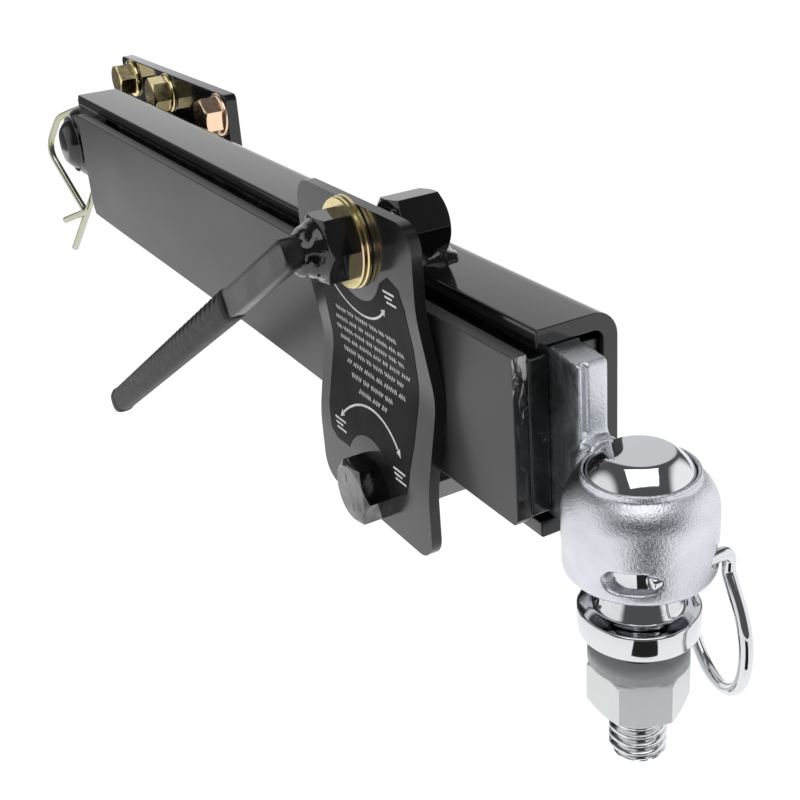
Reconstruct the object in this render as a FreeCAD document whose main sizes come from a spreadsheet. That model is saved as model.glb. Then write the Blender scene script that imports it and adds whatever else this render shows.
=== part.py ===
import FreeCAD, Part
import math
import os
import Sketcher
from FreeCAD import Matrix, Placement, Rotation, Vector

# Friction sway-control bar with its small hitch ball, for a car trailer.
# The origin is the middle of the ball stud's seat, where the flange meets the hitch tab.
# X runs along the bar from the trailer end to the tow ball, Y from the handle side
# to the back of the channel, and Z is up. Everything is in millimetres.

doc = FreeCAD.newDocument("sway_control")

# ------------------------------------------------------------------ driving sizes
SIZES = [
    # ball and stud (both balls are the same turning)
    ("ball_r", 15.875), ("ball_z", 39.5), ("ball_flat", 13.4), ("neck_r", 7.5),
    ("neck_foot_r", 11.0), ("neck_foot_h", 5.0), ("flange_r", 16.3), ("flange_t", 8.1),
    ("flange_edge", 0.8), ("stud_r", 7.9375), ("stud_len", 40.0), ("stud_tip", 1.5),
    ("relief_r", 7.3), ("relief_top", -23.0), ("relief_bottom", -24.0),
    # ball nut and lock washer
    ("lock_r", 13.6), ("lock_bore", 8.2), ("lock_top", -5.3), ("lock_bottom", -9.8),
    ("lock_gap", 2.2), ("nut_flats", 24.2), ("nut_bottom", -23.7), ("nut_bore", 7.96),
    # cast sockets
    ("cup_r", 20.0), ("cup_foot", -19.8), ("cup_shoulder", -1.0), ("rim_r", 14.75),
    ("rim_h", 8.8), ("bore_r", 16.0), ("slot_x", 13.1), ("slot_drop", -13.1),
    ("slot_w", 10.0), ("slot_h", 5.8), ("dome_r", 10.5),
    # flat bar
    ("bar_t", 9.6), ("bar_low", 20.6), ("bar_high", 71.6), ("bar_far", -390.0),
    ("arm_end", -18.8),
    # channel housing
    ("hous_near", -31.0), ("hous_far", -438.0), ("chan_front", -8.8), ("chan_back", 17.7),
    ("chan_low", 15.1), ("chan_high", 77.1), ("chan_t", 5.0), ("chan_round", 8.0),
    ("pad_run", 0.05), ("pad_inset", 2.0),
    # front plate and its friction pad
    ("plate_far", -417.0), ("plate_front", -16.4), ("plate_back", -11.7),
    ("plate_low", 20.8), ("plate_high", 71.6), ("pad_low", 22.6), ("pad_high", 69.8),
    # bent yoke
    ("yoke_left", -136.5), ("yoke_right", -65.5), ("yoke_low", -5.6), ("yoke_high", 99.4),
    ("yoke_mid", 46.5), ("yoke_flat", 28.0), ("yoke_t", 3.5), ("yoke_bend", 4.6),
    ("yoke_round", 8.0), ("bolt_x", -101.5), ("upper_z", 86.9), ("lower_z", 5.3),
    ("bolt_hole", 6.75), ("label_t", 0.25), ("label_left", -124.5), ("label_right", -71.5),
    ("label_low", 13.0), ("label_high", 75.4),
    # clamp bolts and the nuts welded to the channel
    ("bolt_r", 6.3), ("thread_bore", 6.35), ("clamp_nut_flats", 19.0),
    ("upper_nut_front", -11.3), ("lower_nut_front", -8.4), ("clamp_nut_len", 15.7),
    ("bolt_end", 4.0),
    ("washer_r", 13.9), ("washer_bore", 6.6), ("washer_t", 1.5), ("hex_flats", 19.05),
    ("hex_h", 8.4), ("hub_h", 6.6), ("hub_r", 5.6), ("head_h", 8.2),
    # lever and grip
    ("lever_h", 9.6), ("lever_t", 6.0), ("lever_drop", 30.5),
    ("grip_start", 55.0), ("grip_end", 256.0), ("grip_h", 12.0), ("grip_t", 9.0),
    # trailer end
    ("far_x", -468.0), ("far_z", 46.1), ("tang_far", -449.0), ("tang_near", -408.0),
    ("brk_left", -512.0), ("brk_right", -356.5), ("brk_low", 18.0), ("brk_high", 80.6),
    ("brk_t", 6.35), ("screw_z", 70.4), ("screw_one", -494.5), ("screw_two", -437.5),
    ("screw_three", -365.0), ("screw_r", 6.0), ("screw_hole", 6.2), ("screw_flats", 16.0),
    ("screw_hex_h", 8.5), ("screw_flange_r", 10.2), ("screw_flange_t", 2.0),
    ("screw_len", 6.6), ("screw_tip", 0.8),
    # wire clips
    ("wire_r", 1.85),
]

sheet = doc.addObject("Spreadsheet::Sheet", "dims")
for row, (name, value) in enumerate(SIZES, start=1):
    sheet.set(f"A{row}", name)
    sheet.set(f"B{row}", str(value))
    sheet.setAlias(f"B{row}", name)
doc.recompute()
size = dict(SIZES)


# ------------------------------------------------------------------ feature helpers
def bind(obj, **expressions):
    """Drive each property from the sheet; a bare alias is looked up in dims."""
    for prop, expr in expressions.items():
        obj.setExpression(prop.replace("__", "."), expr)
    return obj


def place(obj, x="0", y="0", z="0"):
    for axis, expr in (("x", x), ("y", y), ("z", z)):
        obj.setExpression(f"Placement.Base.{axis}", f"({expr}) * 1 mm")
    return obj


def block(name, x0, x1, y0, y1, z0, z1):
    """A box between six sheet expressions."""
    box = doc.addObject("Part::Box", name)
    bind(box, Length=f"(({x1}) - ({x0})) * 1 mm", Width=f"(({y1}) - ({y0})) * 1 mm",
         Height=f"(({z1}) - ({z0})) * 1 mm")
    return place(box, x0, y0, z0)


def turn_to(obj, axis):
    if axis == "y":
        obj.Placement.Rotation = Rotation(Vector(1, 0, 0), -90)
    return obj


def rod(name, r, length, x="0", y="0", z="0", axis="z"):
    """A cylinder along +Z or +Y from a stated start."""
    cyl = doc.addObject("Part::Cylinder", name)
    bind(cyl, Radius=f"({r}) * 1 mm", Height=f"({length}) * 1 mm")
    turn_to(cyl, axis)
    return place(cyl, x, y, z)


def taper(name, r0, r1, length, x="0", y="0", z="0", axis="z"):
    cone = doc.addObject("Part::Cone", name)
    bind(cone, Radius1=f"({r0}) * 1 mm", Radius2=f"({r1}) * 1 mm", Height=f"({length}) * 1 mm")
    turn_to(cone, axis)
    return place(cone, x, y, z)


def hexagon(name, flats, length, x="0", y="0", z="0", axis="z"):
    """A hexagonal prism with a corner towards +X."""
    prism = doc.addObject("Part::Prism", name)
    prism.Polygon = 6
    bind(prism, Circumradius=f"({flats}) / sqrt(3) * 1 mm", Height=f"({length}) * 1 mm")
    turn_to(prism, axis)
    return place(prism, x, y, z)


def join(name, *shapes):
    fused = doc.addObject("Part::MultiFuse", name)
    fused.Shapes = list(shapes)
    return fused


def minus(name, base, *tools):
    for count, tool in enumerate(tools, start=1):
        cut = doc.addObject("Part::Cut", name if count == len(tools) else f"{name}_cut{count}")
        cut.Base, cut.Tool = base, tool
        base = cut
    return base


def both(name, *shapes):
    common = doc.addObject("Part::MultiCommon", name)
    common.Shapes = list(shapes)
    return common


def solids(name, *shapes):
    """Several separate solids kept together as one node."""
    group = doc.addObject("Part::Compound", name)
    group.Links = list(shapes)
    return group


def plane_of(body, role):
    return next(f for f in body.Origin.OriginFeatures if f.Role == role)


def outline(body, name, role, offset="0"):
    """A sketch lying on one of the body's own origin planes."""
    sketch = body.newObject("Sketcher::SketchObject", name)
    sketch.AttachmentSupport = [(plane_of(body, role), "")]
    sketch.MapMode = "FlatFace"
    sketch.setExpression("AttachmentOffset.Base.z", f"({offset}) * 1 mm")
    return sketch


def loop(sketch, corners, arcs=None):
    """A closed outline through corners, each held by its two distances from the origin.

    A corner is a pair of sheet expressions. arcs maps a side's number to (radius, bulge),
    where bulge is +1 or -1 for the side of the chord the arc swells to.
    """
    arcs = arcs or {}
    values = [tuple(evaluate(e) for e in corner) for corner in corners]
    for i, (x, y) in enumerate(values):
        nx, ny = values[(i + 1) % len(values)]
        start, end = Vector(x, y, 0), Vector(nx, ny, 0)
        if i in arcs:
            radius, bulge = evaluate(arcs[i][0]), arcs[i][1]
            chord = end - start
            half = chord.Length / 2
            side = Vector(-chord.y, chord.x, 0).normalize() * bulge
            centre = (start + end) * 0.5 - side * math.sqrt(max(radius**2 - half**2, 0.0))
            turns = [math.atan2(p.y - centre.y, p.x - centre.x) for p in (start, end)]
            if bulge > 0:
                turns.reverse()
            if turns[1] < turns[0]:
                turns[1] += 2 * math.pi
            circle = Part.Circle(centre, Vector(0, 0, 1), radius)
            sketch.addGeometry(Part.ArcOfCircle(circle, *turns), False)
        else:
            sketch.addGeometry(Part.LineSegment(start, end), False)
    count = len(values)
    tips = [(2, 1) if i in arcs and arcs[i][1] > 0 else (1, 2) for i in range(count)]
    for i in range(count):
        j = (i + 1) % count
        sketch.addConstraint(Sketcher.Constraint("Coincident", i, tips[i][1], j, tips[j][0]))
    for i, corner in enumerate(corners):
        for kind, expr in zip(("DistanceX", "DistanceY"), corner):
            index = sketch.addConstraint(
                Sketcher.Constraint(kind, -1, 1, i, tips[i][0], evaluate(expr)))
            sketch.setExpression(f"Constraints[{index}]", f"({expr}) * 1 mm")
    for i, (radius, _) in arcs.items():
        index = sketch.addConstraint(Sketcher.Constraint("Radius", i, evaluate(radius)))
        sketch.setExpression(f"Constraints[{index}]", f"({radius}) * 1 mm")
    return sketch


def ring(sketch, x, y, r):
    """A circle held by its centre and radius."""
    index = sketch.addGeometry(Part.Circle(Vector(evaluate(x), evaluate(y), 0),
                                           Vector(0, 0, 1), evaluate(r)), False)
    for kind, expr in (("DistanceX", x), ("DistanceY", y)):
        held = sketch.addConstraint(Sketcher.Constraint(kind, -1, 1, index, 3, evaluate(expr)))
        sketch.setExpression(f"Constraints[{held}]", f"({expr}) * 1 mm")
    held = sketch.addConstraint(Sketcher.Constraint("Radius", index, evaluate(r)))
    sketch.setExpression(f"Constraints[{held}]", f"({r}) * 1 mm")
    return sketch


def evaluate(expr):
    """The number a sheet expression stands for."""
    value = sheet.evalExpression(expr.replace("dims.", ""))
    return float(getattr(value, "Value", value))


def slab(body, name, sketch, length, both_ways=False, backwards=False):
    pad = body.newObject("PartDesign::Pad", name)
    pad.Profile = sketch
    pad.setExpression("Length", f"({length}) * 1 mm")
    pad.Midplane = both_ways
    pad.Reversed = backwards
    return pad


def through(body, name, sketch):
    """A pocket right through the body, both ways from its sketch."""
    before = body.Shape.Volume
    pocket = body.newObject("PartDesign::Pocket", name)
    pocket.Profile = sketch
    pocket.Type = 1
    pocket.Midplane = True
    doc.recompute()
    if pocket.Shape.Volume >= before:
        raise RuntimeError(f"{name} removes nothing")
    return pocket


def spun(body, name, sketch, axis):
    rev = body.newObject("PartDesign::Revolution", name)
    rev.Profile = sketch
    rev.ReferenceAxis = (sketch, [axis])
    rev.Angle = 360
    return rev


# ------------------------------------------------------------------ balls
def ball_parts(tag, long_stud):
    """Sphere with a ground flat, waisted neck, flange and stud, standing on the origin."""
    sphere = doc.addObject("Part::Sphere", f"{tag}_sphere")
    bind(sphere, Radius="dims.ball_r * 1 mm")
    place(sphere, z="dims.ball_z")
    crown = block(f"{tag}_crown", "-20", "20", "-20", "20",
                  "dims.ball_z + dims.ball_flat", "dims.ball_z + 20")
    head = minus(f"{tag}_head", sphere, crown)
    neck = rod(f"{tag}_neck", "dims.neck_r", "dims.ball_z - dims.flange_t", z="dims.flange_t")
    foot = taper(f"{tag}_foot", "dims.neck_foot_r", "dims.neck_r", "dims.neck_foot_h",
                 z="dims.flange_t")
    low_edge = taper(f"{tag}_low_edge", "dims.flange_r - dims.flange_edge", "dims.flange_r",
                     "dims.flange_edge")
    flange = rod(f"{tag}_flange", "dims.flange_r", "dims.flange_t - 2 * dims.flange_edge",
                 z="dims.flange_edge")
    top_edge = taper(f"{tag}_top_edge", "dims.flange_r", "dims.flange_r - dims.flange_edge",
                     "dims.flange_edge", z="dims.flange_t - dims.flange_edge")
    pieces = [head, neck, foot, low_edge, flange, top_edge]
    if long_stud:
        length = "dims.stud_len - dims.stud_tip"
        pieces.append(rod(f"{tag}_stud", "dims.stud_r", length, z=f"-({length})"))
        pieces.append(taper(f"{tag}_tip", "dims.stud_r - dims.stud_tip", "dims.stud_r",
                            "dims.stud_tip", z="-dims.stud_len"))
    else:
        pieces.append(rod(f"{tag}_stud", "dims.stud_r", "dims.brk_t", z="-dims.brk_t"))
    return pieces


whole = join("hitch_ball_turning", *ball_parts("hitch", True))
relief_height = "dims.relief_top - dims.relief_bottom"
relief_outer = rod("relief_outer", "dims.stud_r + 2", relief_height, z="dims.relief_bottom")
relief_core = rod("relief_core", "dims.relief_r", relief_height, z="dims.relief_bottom")
relief = minus("relief", relief_outer, relief_core)
hitch_ball = minus("hitch_ball", whole, relief)

trailer_ball = join("trailer_ball", *ball_parts("trailer", False))
trailer_ball.Placement.Rotation = Rotation(Vector(1, 0, 0), 90)
place(trailer_ball, x="dims.far_x", y="dims.ball_z", z="dims.far_z")

# ------------------------------------------------------------------ lock washer and ball nut
lock_h = "dims.lock_top - dims.lock_bottom"
lock_disc = rod("lock_disc", "dims.lock_r", lock_h, z="dims.lock_bottom")
lock_bore = rod("lock_hole", "dims.lock_bore", lock_h, z="dims.lock_bottom")
lock_split = block("lock_split", "0", "20", "-dims.lock_gap / 2", "dims.lock_gap / 2",
                   "dims.lock_bottom", "dims.lock_top")
lock_split.Placement.Rotation = Rotation(Vector(0, 0, 1), 140)
hitch_lock_washer = minus("hitch_lock_washer", lock_disc, lock_bore, lock_split)


def chamfered_hex(tag, flats, length, x="0", y="0", z="0", axis="z", both_ends=True):
    """A hexagon whose corners are turned off at its far end, and at its near end too."""
    prism = hexagon(f"{tag}_prism", flats, length, x, y, z, axis)
    corner = f"({flats}) / sqrt(3)"
    face = f"({flats}) / 2 * 0.98"
    bevel = "1.3"
    near = bevel if both_ends else "0"
    along = {"z": (x, y, f"{z} + {near}"), "y": (x, f"{y} + {near}", z)}[axis]
    far = {"z": (x, y, f"{z} + ({length}) - {bevel}"),
           "y": (x, f"{y} + ({length}) - {bevel}", z)}[axis]
    parts = [rod(f"{tag}_barrel", corner, f"({length}) - {near} - {bevel}", *along, axis=axis),
             taper(f"{tag}_far_bevel", corner, face, bevel, *far, axis=axis)]
    if both_ends:
        parts.append(taper(f"{tag}_near_bevel", face, corner, bevel, x, y, z, axis=axis))
    envelope = join(f"{tag}_envelope", *parts)
    return both(f"{tag}_hex", prism, envelope)


nut_h = "dims.lock_bottom - dims.nut_bottom"
nut_body = chamfered_hex("ball_nut", "dims.nut_flats", nut_h, z="dims.nut_bottom")
nut_bore = rod("ball_nut_bore", "dims.nut_bore", nut_h, z="dims.nut_bottom")
hitch_nut = minus("hitch_nut", nut_body, nut_bore)


# ------------------------------------------------------------------ cast sockets
def socket(name, role, offset, arm_x0, arm_x1, arm_z0, arm_z1, slot_side):
    """A domed cup over a ball, with a flat tang and a slot for the wire clip.

    The cup is turned about the body's Z axis with the ball's middle at ball_z.
    """
    body = doc.addObject("PartDesign::Body", f"{name}_casting")
    cup = outline(body, f"{name}_cup", "XZ_Plane")
    z = "dims.ball_z"
    lip = "dims.rim_r - 1.2"
    loop(cup, [
        (lip, f"{z} + dims.cup_foot"), ("dims.cup_r - 1.2", f"{z} + dims.cup_foot"),
        ("dims.cup_r", f"{z} + dims.cup_foot + 1.2"), ("dims.cup_r", f"{z} + dims.cup_shoulder"),
        ("dims.rim_r", f"{z} + dims.rim_h"), (lip, f"{z} + dims.rim_h"),
    ], arcs={3: ("dims.dome_r", -1)})
    spun(body, f"{name}_turned", cup, "V_Axis")
    doc.recompute()
    arm = outline(body, f"{name}_arm", role, offset)
    loop(arm, [(arm_x0, arm_z0), (arm_x1, arm_z0), (arm_x1, arm_z1), (arm_x0, arm_z1)])
    slab(body, f"{name}_tang", arm, "dims.bar_t", both_ways=True)
    doc.recompute()
    slot = outline(body, f"{name}_slot", "XZ_Plane")
    mid, low = f"{slot_side} * dims.slot_x", f"{z} + dims.slot_drop"
    half_w, half_h = "dims.slot_w / 2", "dims.slot_h / 2"
    loop(slot, [
        (f"{mid} - {half_w} + {half_h}", f"{low} - {half_h}"),
        (f"{mid} + {half_w} - {half_h}", f"{low} - {half_h}"),
        (f"{mid} + {half_w} - {half_h}", f"{low} + {half_h}"),
        (f"{mid} - {half_w} + {half_h}", f"{low} + {half_h}"),
    ], arcs={1: (half_h, -1), 3: (half_h, -1)})
    through(body, f"{name}_slot_cut", slot)
    seat = doc.addObject("Part::Sphere", f"{name}_seat")
    bind(seat, Radius="dims.bore_r * 1 mm")
    place(seat, z=z)
    mouth = rod(f"{name}_mouth", "dims.bore_r", "-dims.cup_foot + 1", z=f"{z} + dims.cup_foot - 1")
    return minus(name, body, seat, mouth)


hitch_socket = socket("hitch_socket", "XZ_Plane", "0", "dims.hous_near", "dims.arm_end",
                      "dims.bar_low", "dims.bar_high", "1")
# The trailer socket lies on its side, its mouth towards the bracket. Its tang is drawn
# in the cup's own frame, where the channel's height runs along Y.
trailer_socket = socket("trailer_socket", "XY_Plane", "dims.ball_z",
                        "dims.tang_far - dims.far_x", "dims.tang_near - dims.far_x",
                        "dims.chan_low + dims.chan_t - dims.far_z",
                        "dims.chan_high - dims.chan_t - dims.far_z", "-1")
trailer_socket.Placement.Rotation = Rotation(Vector(1, 0, 0), 90)
place(trailer_socket, x="dims.far_x", y="dims.ball_z", z="dims.far_z")

# ------------------------------------------------------------------ flat bar
slide_bar = doc.addObject("PartDesign::Body", "slide_bar")
bar_side = outline(slide_bar, "bar_side", "XZ_Plane")
loop(bar_side, [("dims.bar_far", "dims.bar_low"), ("dims.hous_near", "dims.bar_low"),
                ("dims.hous_near", "dims.bar_high"), ("dims.bar_far", "dims.bar_high")])
slab(slide_bar, "bar_blank", bar_side, "dims.bar_t", both_ways=True)

# ------------------------------------------------------------------ channel housing
housing_channel = doc.addObject("PartDesign::Body", "housing_channel")
section = outline(housing_channel, "channel_section", "YZ_Plane", "dims.hous_far")
inner = "dims.chan_round - dims.chan_t"
loop(section, [
    ("dims.chan_front", "dims.chan_low"),
    ("dims.chan_back - dims.chan_round", "dims.chan_low"),
    ("dims.chan_back", "dims.chan_low + dims.chan_round"),
    ("dims.chan_back", "dims.chan_high - dims.chan_round"),
    ("dims.chan_back - dims.chan_round", "dims.chan_high"),
    ("dims.chan_front", "dims.chan_high"),
    ("dims.chan_front", "dims.chan_high - dims.chan_t"),
    ("dims.chan_back - dims.chan_round", "dims.chan_high - dims.chan_t"),
    ("dims.chan_back - dims.chan_t", "dims.chan_high - dims.chan_round"),
    ("dims.chan_back - dims.chan_t", "dims.chan_low + dims.chan_round"),
    ("dims.chan_back - dims.chan_round", "dims.chan_low + dims.chan_t"),
    ("dims.chan_front", "dims.chan_low + dims.chan_t"),
], arcs={1: ("dims.chan_round", -1), 3: ("dims.chan_round", -1), 7: (inner, 1), 9: (inner, 1)})
slab(housing_channel, "channel_length", section, "dims.hous_near - dims.hous_far")

pad_back = "dims.chan_back - dims.chan_t"
rear_friction_pad = block(
    "rear_friction_pad", "dims.tang_near", "dims.hous_near - dims.pad_inset",
    "dims.bar_t / 2 + dims.pad_run", pad_back, "dims.chan_low + dims.chan_round",
    "dims.chan_high - dims.chan_round")

# ------------------------------------------------------------------ front plate and pad
pressure_plate = doc.addObject("PartDesign::Body", "pressure_plate")
plate_side = outline(pressure_plate, "plate_side", "XZ_Plane", "-dims.plate_back")
loop(plate_side, [
    ("dims.plate_far + 2.5", "dims.plate_low"), ("dims.hous_near - 2", "dims.plate_low"),
    ("dims.hous_near", "dims.plate_low + 2"), ("dims.hous_near", "dims.plate_high"),
    ("dims.plate_far", "dims.plate_high"), ("dims.plate_far", "dims.plate_low + 5.5")])
slab(pressure_plate, "plate_blank", plate_side, "dims.plate_back - dims.plate_front")

front_friction_pad = block(
    "front_friction_pad", "dims.plate_far", "dims.hous_near", "dims.plate_back",
    "-(dims.bar_t / 2 + dims.pad_run)", "dims.pad_low", "dims.pad_high")


# ------------------------------------------------------------------ bent yoke and its label
def bent_strip(body, name, low, high, depth_back, depth_front, left, right):
    """A strip bent in a shallow V: its middle lies on the plate, its ends stand forward."""
    strip = outline(body, name, "YZ_Plane", left)
    mid, flat, bend = "dims.yoke_mid", "dims.yoke_flat", "dims.yoke_bend"
    loop(strip, [
        (f"{depth_back} - {bend}", low), (f"{depth_back} - {bend}", f"{mid} - {flat}"),
        (depth_back, mid), (f"{depth_back} - {bend}", f"{mid} + {flat}"),
        (f"{depth_back} - {bend}", high), (f"{depth_front} - {bend}", high),
        (f"{depth_front} - {bend}", f"{mid} + {flat}"), (depth_front, mid),
        (f"{depth_front} - {bend}", f"{mid} - {flat}"), (f"{depth_front} - {bend}", low)])
    slab(body, f"{name}_blank", strip, f"({right}) - ({left})")
    doc.recompute()


yoke_front = "dims.plate_front - dims.yoke_t"
yoke_plate = doc.addObject("PartDesign::Body", "yoke_plate")
bent_strip(yoke_plate, "yoke_section", "dims.yoke_low", "dims.yoke_high", "dims.plate_front",
           yoke_front, "dims.yoke_left", "dims.yoke_right")
holes = outline(yoke_plate, "yoke_holes", "XZ_Plane")
ring(holes, "dims.bolt_x", "dims.upper_z", "dims.bolt_hole")
ring(holes, "dims.bolt_x", "dims.lower_z", "dims.bolt_hole")
through(yoke_plate, "yoke_drilled", holes)
drilled = yoke_plate.Tip
corners = []
for index, edge in enumerate(drilled.Shape.Edges, start=1):
    a, b = edge.firstVertex().Point, edge.lastVertex().Point
    across = abs(a.x - b.x) < 1e-6 and abs(a.z - b.z) < 1e-6 and abs(a.y - b.y) > 1
    at_end = min(abs(a.z - size["yoke_low"]), abs(a.z - size["yoke_high"])) < 1e-6
    if across and at_end:
        corners.append(f"Edge{index}")
rounding = yoke_plate.newObject("PartDesign::Fillet", "yoke_corners")
rounding.Base = (drilled, corners)
rounding.setExpression("Radius", "dims.yoke_round * 1 mm")

instruction_label = doc.addObject("PartDesign::Body", "instruction_label")
bent_strip(instruction_label, "label_section", "dims.label_low", "dims.label_high", yoke_front,
           f"{yoke_front} - dims.label_t", "dims.label_left", "dims.label_right")
bites = outline(instruction_label, "label_bites", "XZ_Plane")
ring(bites, "dims.bolt_x", "dims.upper_z", "dims.washer_r + 3")
ring(bites, "dims.bolt_x", "dims.lower_z", "dims.washer_r + 1")
through(instruction_label, "label_cut", bites)

# ------------------------------------------------------------------ nuts welded to the channel
yoke_face = f"{yoke_front} - dims.yoke_bend"


def clamp_nut(name, z, side, front):
    """A nut lying across the channel's lip, on a fillet of weld."""
    hexa = chamfered_hex(name, "dims.clamp_nut_flats", "dims.clamp_nut_len", "dims.bolt_x",
                         front, z, axis="y")
    bore = rod(f"{name}_bore", "dims.thread_bore", "dims.clamp_nut_len", "dims.bolt_x",
               front, z, axis="y")
    wall = "dims.chan_high" if side > 0 else "dims.chan_low"
    reach = "3.2"
    low, high = (wall, f"{wall} + {reach}") if side > 0 else (f"{wall} - {reach}", wall)
    weld = block(f"{name}_weld", "dims.bolt_x - 9", "dims.bolt_x + 9", "dims.chan_front + 1",
                 f"{front} + dims.clamp_nut_len + 2.5", low, high)
    return minus(name, join(f"{name}_welded", hexa, weld), bore)


upper_clamp_nut = clamp_nut("upper_clamp_nut", "dims.upper_z", 1, "dims.upper_nut_front")
lower_clamp_nut = clamp_nut("lower_clamp_nut", "dims.lower_z", -1, "dims.lower_nut_front")

# ------------------------------------------------------------------ handle
washers = []
for count in (1, 2):
    start = f"{yoke_face} - {count} * dims.washer_t"
    disc = rod(f"washer_disc{count}", "dims.washer_r", "dims.washer_t", "dims.bolt_x", start,
               "dims.upper_z", axis="y")
    hole = rod(f"washer_hole{count}", "dims.washer_bore", "dims.washer_t", "dims.bolt_x", start,
               "dims.upper_z", axis="y")
    washers.append(minus(f"washer{count}", disc, hole))
handle_washers = solids("handle_washers", *washers)

head_seat = f"{yoke_face} - 2 * dims.washer_t"
head_face = f"{head_seat} - dims.hex_h"
hub_face = f"{head_face} - dims.hub_h"
shank = rod("handle_shank", "dims.bolt_r", f"dims.bolt_end - ({head_seat})", "dims.bolt_x",
            head_seat, "dims.upper_z", axis="y")
hexa = hexagon("handle_hex", "dims.hex_flats", "dims.hex_h", "dims.bolt_x", head_face,
               "dims.upper_z", axis="y")
hub = taper("handle_hub", "dims.hub_r", "dims.hex_flats / 2", "dims.hub_h", "dims.bolt_x",
            hub_face, "dims.upper_z", axis="y")
handle_bolt = join("handle_bolt", shank, hexa, hub)

lever_face = f"{hub_face} - dims.lever_t"
drop = Rotation(Vector(0, 1, 0), -size["lever_drop"])


def lever_piece(name, start, end, high, thick, middle):
    """A bar in the lever's own line, hung from the handle bolt's axis."""
    bar = doc.addObject("Part::Box", name)
    bind(bar, Length=f"(({end}) - ({start})) * 1 mm", Width=f"({thick}) * 1 mm",
         Height=f"({high}) * 1 mm")
    back = Vector(-evaluate(end), 0, -evaluate(high) / 2)
    shifted = drop.multVec(back)
    bar.Placement.Rotation = drop
    return place(bar, f"dims.bolt_x + ({shifted.x:.6f})", f"{middle} - ({thick}) / 2",
                 f"dims.upper_z + ({shifted.z:.6f})")


lever_mid = f"{lever_face} + dims.lever_t / 2"
handle_lever = lever_piece("handle_lever", "-7", "dims.grip_start", "dims.lever_h",
                           "dims.lever_t", lever_mid)
handle_grip = lever_piece("handle_grip", "dims.grip_start", "dims.grip_end", "dims.grip_h",
                          "dims.grip_t", lever_mid)

# ------------------------------------------------------------------ adjusting bolt
adjust_shank = rod("adjust_shank", "dims.bolt_r", f"dims.bolt_end - ({yoke_face})", "dims.bolt_x",
                   yoke_face, "dims.lower_z", axis="y")
adjust_start = f"{yoke_face} - dims.head_h"
adjust_prism = hexagon("adjust_prism", "dims.hex_flats", "dims.head_h", "dims.bolt_x",
                       adjust_start, "dims.lower_z", axis="y")
adjust_bevel = taper("adjust_bevel", "dims.hex_flats / 2", "dims.hex_flats / sqrt(3)", "1.3",
                     "dims.bolt_x", adjust_start, "dims.lower_z", axis="y")
adjust_barrel = rod("adjust_barrel", "dims.hex_flats / sqrt(3)", "dims.head_h - 1.3",
                    "dims.bolt_x", f"{adjust_start} + 1.3", "dims.lower_z", axis="y")
adjust_head = both("adjust_head", adjust_prism, join("adjust_envelope", adjust_bevel,
                                                     adjust_barrel))
adjusting_bolt = join("adjusting_bolt", adjust_shank, adjust_head)

# ------------------------------------------------------------------ trailer bracket
brk_face, brk_back = "dims.ball_z", "dims.ball_z + dims.brk_t"
bracket_plate = doc.addObject("PartDesign::Body", "bracket_plate")
brk_side = outline(bracket_plate, "bracket_side", "XZ_Plane", f"-({brk_back})")
loop(brk_side, [("dims.brk_left", "dims.brk_low"), ("dims.brk_right", "dims.brk_low"),
                ("dims.brk_right", "dims.brk_high"), ("dims.brk_left", "dims.brk_high")])
slab(bracket_plate, "bracket_blank", brk_side, "dims.brk_t")
doc.recompute()
screw_xs = ["dims.screw_one", "dims.screw_two", "dims.screw_three"]
brk_holes = outline(bracket_plate, "bracket_holes", "XZ_Plane")
for x in screw_xs:
    ring(brk_holes, x, "dims.screw_z", "dims.screw_hole")
ring(brk_holes, "dims.far_x", "dims.far_z", "dims.stud_r")
through(bracket_plate, "bracket_drilled", brk_holes)

screws = []
for count, x in enumerate(screw_xs, start=1):
    hex_start = f"{brk_face} - dims.screw_flange_t - dims.screw_hex_h"
    pieces = [
        hexagon(f"screw_hex{count}", "dims.screw_flats", "dims.screw_hex_h", x, hex_start,
                "dims.screw_z", axis="y"),
        rod(f"screw_flange{count}", "dims.screw_flange_r", "dims.screw_flange_t", x,
            f"{brk_face} - dims.screw_flange_t", "dims.screw_z", axis="y"),
        rod(f"screw_shank{count}", "dims.screw_r", "dims.screw_len", x, brk_face,
            "dims.screw_z", axis="y"),
        taper(f"screw_tip{count}", "dims.screw_r", "dims.screw_r - dims.screw_tip",
              "dims.screw_tip", x, f"{brk_face} + dims.screw_len", "dims.screw_z", axis="y")]
    screws.append(join(f"screw{count}", *pieces))
bracket_screws = solids("bracket_screws", *screws)


# ------------------------------------------------------------------ wire clips
def wire(name, corners):
    """Round wire bent at its corners; a corner is a point and, but for the two ends, a radius."""
    points = [Vector(*corner[:3]) for corner in corners]
    edges, last = [], points[0]
    for i in range(1, len(points) - 1):
        here, radius = points[i], corners[i][3]
        back = (points[i - 1] - here).normalize()
        on = (points[i + 1] - here).normalize()
        half = back.getAngle(on) / 2
        start, end = here + back * (radius / math.tan(half)), here + on * (radius / math.tan(half))
        inward = (back + on).normalize()
        middle = here + inward * (radius / math.sin(half) - radius)
        if last.distanceToPoint(start) > 1e-4:
            edges.append(Part.LineSegment(last, start).toShape())
            last = start
        edges.append(Part.Arc(last, middle, end).toShape())
        last = end
    edges.append(Part.LineSegment(last, points[-1]).toShape())
    profile = Part.Face(Part.Wire([Part.makeCircle(size["wire_r"], points[0],
                                                   points[1] - points[0])]))
    feature = doc.addObject("Part::Feature", name)
    feature.Shape = Part.Wire(edges).makePipe(profile)
    return feature


def ring_corners(middle, across, r, first, last, arcs):
    """Corners of a polygon drawn round a ring, so that bends of radius r join into the ring.

    Clock angles are 0 at the top and turn towards across.
    """
    each = math.radians(last - first) / arcs
    out = []
    for i in range(arcs):
        a = math.radians(first) + each * (i + 0.5)
        reach = r / math.cos(each / 2)
        spot = middle + across * (reach * math.sin(a)) + Vector(0, 0, reach * math.cos(a))
        out.append((*spot, r))
    return out


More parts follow.
